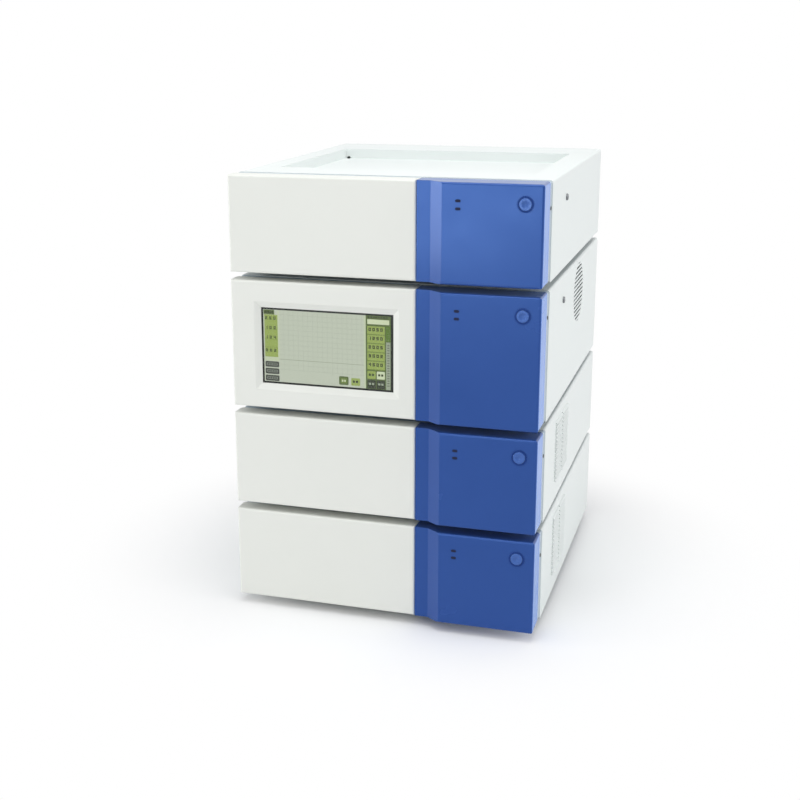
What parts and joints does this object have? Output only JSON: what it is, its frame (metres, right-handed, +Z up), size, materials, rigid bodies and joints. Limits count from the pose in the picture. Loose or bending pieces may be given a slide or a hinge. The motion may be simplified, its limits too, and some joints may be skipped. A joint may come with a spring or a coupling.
{
  "type": "liquid chromatograph",
  "caption": "Stack of white and blue bench modules: two pumps behind doors, a detector with a touch screen, and a column oven with a tray on top.",
  "frame": {"origin": "on the bench, at the middle of the footprint", "axes": "+X to the right, +Y to the back, +Z up; the white panels face -Y"},
  "size_m": [0.3748, 0.4432, 0.531],
  "materials": {
    "white_enamel": "satin powder coat",
    "white_moulding": "fine satin moulding",
    "blue_moulding": "satin blue moulding",
    "grey_enamel": "satin powder coat",
    "grey_moulding": "fine satin moulding",
    "foam": "closed-cell foam",
    "anodised_block": "clear anodised",
    "cast_alloy": "as cast, blasted",
    "spring_steel": "bright spring steel",
    "polished_steel": "polished stainless steel",
    "machined_steel": "machined stainless steel",
    "display_panel": "lit display",
    "touch_glass": "clear touch glass",
    "fan_plastic": "black moulding",
    "knob_plastic": "black moulding",
    "black_oxide": "black oxide",
    "button_metal": "anodised cap",
    "bezel_plastic": "dark moulding",
    "lamp_lens": "unlit smoked lens",
    "circuit_board": "solder mask",
    "inlet_plastic": "black moulding",
    "contact_brass": "bare brass",
    "port_shield": "plated shield",
    "supply_case": "folded case",
    "foot_rubber": "moulded rubber",
    "zinc_steel": "zinc plated"
  },
  "bodies": {
    "base": {"oven_cover": "white_enamel", "solvent_tray": "white_enamel", "oven_chassis": "grey_enamel", "oven_bulkhead": "grey_moulding", "oven_fascia": "blue_moulding", "oven_insulation": "foam", "heater_block": "anodised_block", "column_clips": "spring_steel", "column_tube": "polished_steel", "column_fittings": "polished_steel", "detector_cover": "white_enamel", "detector_chassis": "grey_enamel", "detector_bulkhead": "grey_moulding", "detector_fascia": "blue_moulding", "detector_panel": "white_moulding", "display_module": "display_panel", "touch_glass": "touch_glass", "optical_bench": "cast_alloy", "lamp_housing": "cast_alloy", "flow_cell": "machined_steel", "fan_frame": "fan_plastic", "pump_b_cover": "white_enamel", "pump_b_chassis": "grey_enamel", "pump_b_bulkhead": "grey_moulding", "pump_b_fascia": "blue_moulding", "pump_a_cover": "white_enamel", "pump_a_chassis": "grey_enamel", "pump_a_bulkhead": "grey_moulding", "pump_a_fascia": "blue_moulding", "pump_drives": "cast_alloy", "pump_heads": "machined_steel", "manifolds": "machined_steel", "check_valves": "polished_steel", "capillaries": "polished_steel", "head_screws": "black_oxide", "button_bezels": "bezel_plastic", "status_lamps": "lamp_lens", "switch_boards": "circuit_board", "mains_inlets": "inlet_plastic", "inlet_contacts": "contact_brass", "data_ports": "port_shield", "power_supplies": "supply_case", "control_boards": "circuit_board", "bench_feet": "foot_rubber", "stack_feet": "foot_rubber", "cover_screws": "zinc_steel", "fascia_screws": "black_oxide", "hinge_pins": "spring_steel", "door_magnets": "spring_steel"},
    "oven_door_leaf": {"oven_door": "white_moulding", "oven_door_pad": "foam"},
    "pump_b_door_leaf": {"pump_b_door": "white_moulding"},
    "pump_a_door_leaf": {"pump_a_door": "white_moulding"},
    "pump_b_knob": {"pump_b_purge_knob": "knob_plastic"},
    "pump_a_knob": {"pump_a_purge_knob": "knob_plastic"},
    "oven_switch": {"oven_button": "button_metal"},
    "detector_switch": {"detector_button": "button_metal"},
    "pump_b_switch": {"pump_b_button": "button_metal"},
    "pump_a_switch": {"pump_a_button": "button_metal"},
    "rotor": {"fan_rotor": "fan_plastic"}
  },
  "joints": [
    {"name": "oven_door_hinge", "type": "hinge", "parent": "base", "child": "oven_door_leaf", "pos_m": [-0.18, -0.1914, 0.4745], "axis": [0, 0, -1], "range_deg": [0, 95]},
    {"name": "pump_b_door_hinge", "type": "hinge", "parent": "base", "child": "pump_b_door_leaf", "pos_m": [-0.18, -0.1914, 0.1905], "axis": [0, 0, -1], "range_deg": [0, 95]},
    {"name": "pump_a_door_hinge", "type": "hinge", "parent": "base", "child": "pump_a_door_leaf", "pos_m": [-0.18, -0.1914, 0.0685], "axis": [0, 0, -1], "range_deg": [0, 95]},
    {"name": "pump_b_purge", "type": "hinge", "parent": "base", "child": "pump_b_knob", "pos_m": [-0.011, -0.1514, 0.1945], "axis": [0, -1, 0], "range_deg": [0, 180]},
    {"name": "pump_a_purge", "type": "hinge", "parent": "base", "child": "pump_a_knob", "pos_m": [-0.011, -0.1514, 0.0725], "axis": [0, -1, 0], "range_deg": [0, 180]},
    {"name": "oven_press", "type": "slide", "parent": "base", "child": "oven_switch", "axis": [0, 1, 0], "range_m": [0, 0.0025], "stiffness_N_per_m": 300},
    {"name": "detector_press", "type": "slide", "parent": "base", "child": "detector_switch", "axis": [0, 1, 0], "range_m": [0, 0.0025], "stiffness_N_per_m": 300},
    {"name": "pump_b_press", "type": "slide", "parent": "base", "child": "pump_b_switch", "axis": [0, 1, 0], "range_m": [0, 0.0025], "stiffness_N_per_m": 300},
    {"name": "pump_a_press", "type": "slide", "parent": "base", "child": "pump_a_switch", "axis": [0, 1, 0], "range_m": [0, 0.0025], "stiffness_N_per_m": 300},
    {"name": "fan_spin", "type": "hinge", "parent": "base", "child": "rotor", "pos_m": [0.1628, 0.0486, 0.365], "axis": [1, 0, 0], "continuous": true}
  ]
}
